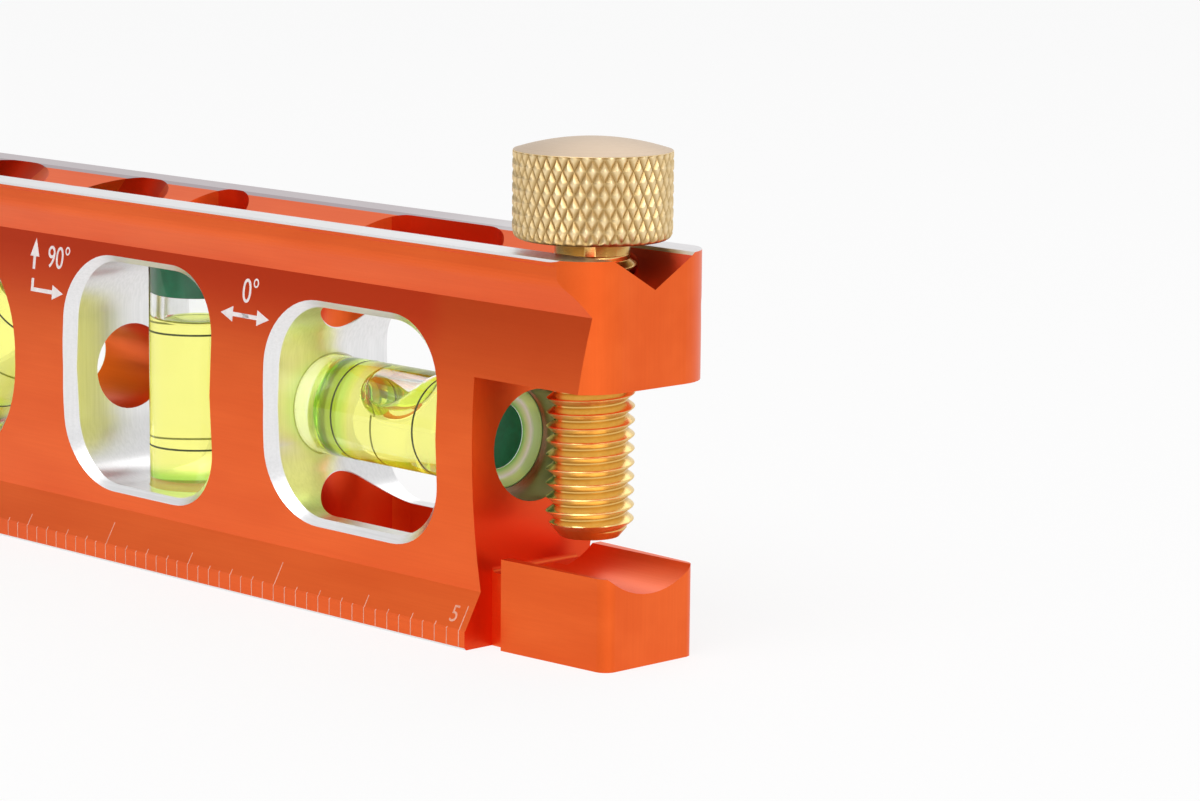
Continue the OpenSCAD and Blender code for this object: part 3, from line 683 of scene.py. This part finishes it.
def make_legends(ink):
    """Angles with their arrows on the front of the web."""
    letter_w = 0.86
    # Each word: its text, middle along X, height of the middle, height of its letters
    words = [("0°", 25.45, 28.6, 2.35), ("90°", -4.0, 28.8, 2.25),
             ("45°", -38.0, 28.6, 2.25), ("30°", -66.6, 29.6, 2.0)]
    shapes = [slab(arrow((24.5, 26.2), (28.45, 26.18))), slab(arrow((25.5, 26.2), (21.45, 26.22))),
              slab(arrow((-7.85, 25.15), (-7.85, 30.3))), slab(arrow((-8.05, 25.3), (-2.85, 25.3))),
              slab(arrow((-39.6, 24.4), (-36.2, 27.0))), slab(arrow((-69.2, 26.6), (-65.6, 28.5)))]
    points, faces = [], []
    for text, x, z, height in words:
        co, polygons = lettering(text)
        flat_x, flat_z = co[:, 0] * height * letter_w + x, co[:, 1] * height + z
        shapes.append((np.column_stack([flat_x, flat_z, co[:, 2]]), polygons))
    for co, polygons in shapes:
        start = sum(len(p) for p in points)
        points.append(on_web(co[:, :2], co[:, 2]))
        faces += [[i + start for i in polygon] for polygon in polygons]
    engraved("white_legends", np.concatenate(points), faces, ink)


def make_numeral(ink):
    """The ruler's 5, laid on the slope beside its tick."""
    co, faces = lettering("5")
    from_tick, numeral_w, middle_share, height_share = 1.3, 1.5, 0.35, 0.42
    across = RULER_END_X - from_tick + co[:, 0] * numeral_w
    up = middle_share + co[:, 1] * height_share
    yz = SLOPE_FOOT + up[:, None] * SLOPE_RUN + (0.006 + 0.012 * co[:, 2:]) * SLOPE_OUT
    engraved("ruler_numeral", np.column_stack([across, yz]), faces, ink)


def engraved(name, points, faces, ink):
    """Piece of lettering from points in millimetres and faces with any number of corners."""
    mesh = bpy.data.meshes.new(name)
    mesh.from_pydata((points * MM).tolist(), [], faces)
    piece = bpy.data.objects.new(name, mesh)
    bpy.context.scene.collection.objects.link(piece)
    mesh.materials.append(ink)
    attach(piece, "level")


# Stage

def make_stage():
    """Pale floor that keeps a soft shadow, a white surround with a darker corner at the front left, and
    softboxes."""
    f = Finish("pale_floor")
    spot, _ = f.place()
    cloud = f.stretched(spot, (1.0, 1.0, 1.0), 0.01, 2.0)
    seen = [f.node("ShaderNodeLightPath", {}, {}, name)
            for name in ("Is Camera Ray", "Is Glossy Ray", "Is Transmission Ray")]
    share = seen[0].above(seen[1]).above(seen[2]) * 0.82
    matt = f.surface(base_color=f.blend(cloud, (0.93, 0.93, 0.93, 1), (0.95, 0.95, 0.95, 1)), roughness=0.8)
    white = f.node("ShaderNodeEmission", {}, {0: (0.99, 0.99, 0.99, 1), 1: 1.0})
    finish = f.done(f.node("ShaderNodeMixShader", {}, {0: share, 1: matt, 2: white}))
    half = 3
    mesh = bpy.data.meshes.new("floor")
    corners = [(-half, -half, 0), (half, -half, 0), (half, half, 0), (-half, half, 0)]
    mesh.from_pydata(corners, [], [(0, 1, 2, 3)])
    mesh.materials.append(finish)
    floor = bpy.data.objects.new("floor", mesh)
    bpy.context.scene.collection.objects.link(floor)

    world = bpy.data.worlds.new("studio")
    bpy.context.scene.world = world
    world.use_nodes = True
    sky = Finish("studio_surround", world.node_tree)
    direction = sky.node("ShaderNodeTexCoord", {}, {}, "Generated")
    dx, dy, dz = (sky.node("ShaderNodeSeparateXYZ", {}, {0: direction}, axis) for axis in range(3))
    camera, through, glossy = (sky.node("ShaderNodeLightPath", {}, {}, name)
                               for name in ("Is Camera Ray", "Is Transmission Ray", "Is Glossy Ray"))
    corner = (dx * -0.7 + dy * -0.7).ramp(0.35, 0.8) * dz.ramp(0.12, 0.42, 1.0, 0.0)
    mirrored = 0.85 - corner * 0.5
    level = camera.above(through).above(glossy * mirrored).above(0.45)
    level = level - glossy * corner * 0.2
    back = sky.node("ShaderNodeBackground", {}, {0: (0.97, 0.97, 0.975, 1), 1: level})
    sky.node("ShaderNodeOutputWorld", {}, {0: back})

    # Each softbox: its name, place in metres and watts. They all aim at one point in the clamp half of the level.
    softbox_w, aim = 1.2, (0.03, 0, 0.015)
    lamps = (("overhead_softbox", (0.25, -0.9, 1.3), 12.0), ("right_softbox", (1.4, -0.5, 0.8), 9.0),
             ("back_softbox", (-0.5, 1.0, 1.2), 4.0))
    for name, spot, power in lamps:
        data = bpy.data.lights.new(name, "AREA")
        data.shape, data.size, data.energy = "SQUARE", softbox_w, power
        lamp = bpy.data.objects.new(name, data)
        away = np.array(spot) - aim
        lamp.matrix_world = aimed(away / np.linalg.norm(away), spot)
        bpy.context.scene.collection.objects.link(lamp)


def aimed(back, spot, roll=0.0):
    """Matrix of a camera or lamp whose own Z points back, rolled by an angle in radians."""
    back = np.asarray(back, float)
    right = np.cross((0, 0, 1), back)
    right = right / np.linalg.norm(right)
    up = np.cross(back, right)
    m = np.eye(4)
    m[:3, 0] = math.cos(roll) * right + math.sin(roll) * up
    m[:3, 1] = math.cos(roll) * up - math.sin(roll) * right
    m[:3, 2], m[:3, 3] = back, spot
    return Matrix(m.tolist())


def place_camera():
    """Camera at the photograph's place, with its lens."""
    az, el, roll = (math.radians(a) for a in (CAMERA_AZ, CAMERA_EL, CAMERA_ROLL))
    back = (math.sin(az) * math.cos(el), -math.cos(az) * math.cos(el), math.sin(el))
    data = bpy.data.cameras.new("camera")
    data.lens, data.sensor_width, data.clip_start = CAMERA_LENS, 36.0, 0.01
    camera = bpy.data.objects.new("camera", data)
    bpy.context.scene.collection.objects.link(camera)
    camera.matrix_world = aimed(back, CAMERA_SPOT, roll)
    bpy.context.scene.camera = camera


place_camera()
make_stage()
bpy.context.scene.view_settings.view_transform = "Standard"

finishes = {
    "level_body": body_finish(),
    "base_magnet": magnet_finish(),
    "plug": moulded_finish("green_plug", (0.001, 0.19, 0.075, 1), (0.002, 0.24, 0.10, 1), 0.35),
    "rings": moulded_finish("ring_ink", (0.05, 0.06, 0.01, 1), (0.07, 0.085, 0.015, 1), 0.4),
}
for name, node in nodes.items():
    for key, finish in finishes.items():
        if key in name:
            for slot in node.material_slots:
                slot.material = finish

make_knob(knob_finish())
make_stud(stud_finish())
clear, spirit, edge = acrylic_finish(), fluid_finish(), bubble_finish()
for vial in VIALS:
    make_vial(vial, clear, spirit, edge)
make_legends(moulded_finish("white_legend", (0.74, 0.68, 0.67, 1), (0.82, 0.78, 0.77, 1), 0.5))
ruler_ink = moulded_finish("pale_ruler_line", (0.66, 0.30, 0.19, 1), (0.76, 0.40, 0.28, 1), 0.5)
make_ticks(ruler_ink)
make_numeral(ruler_ink)
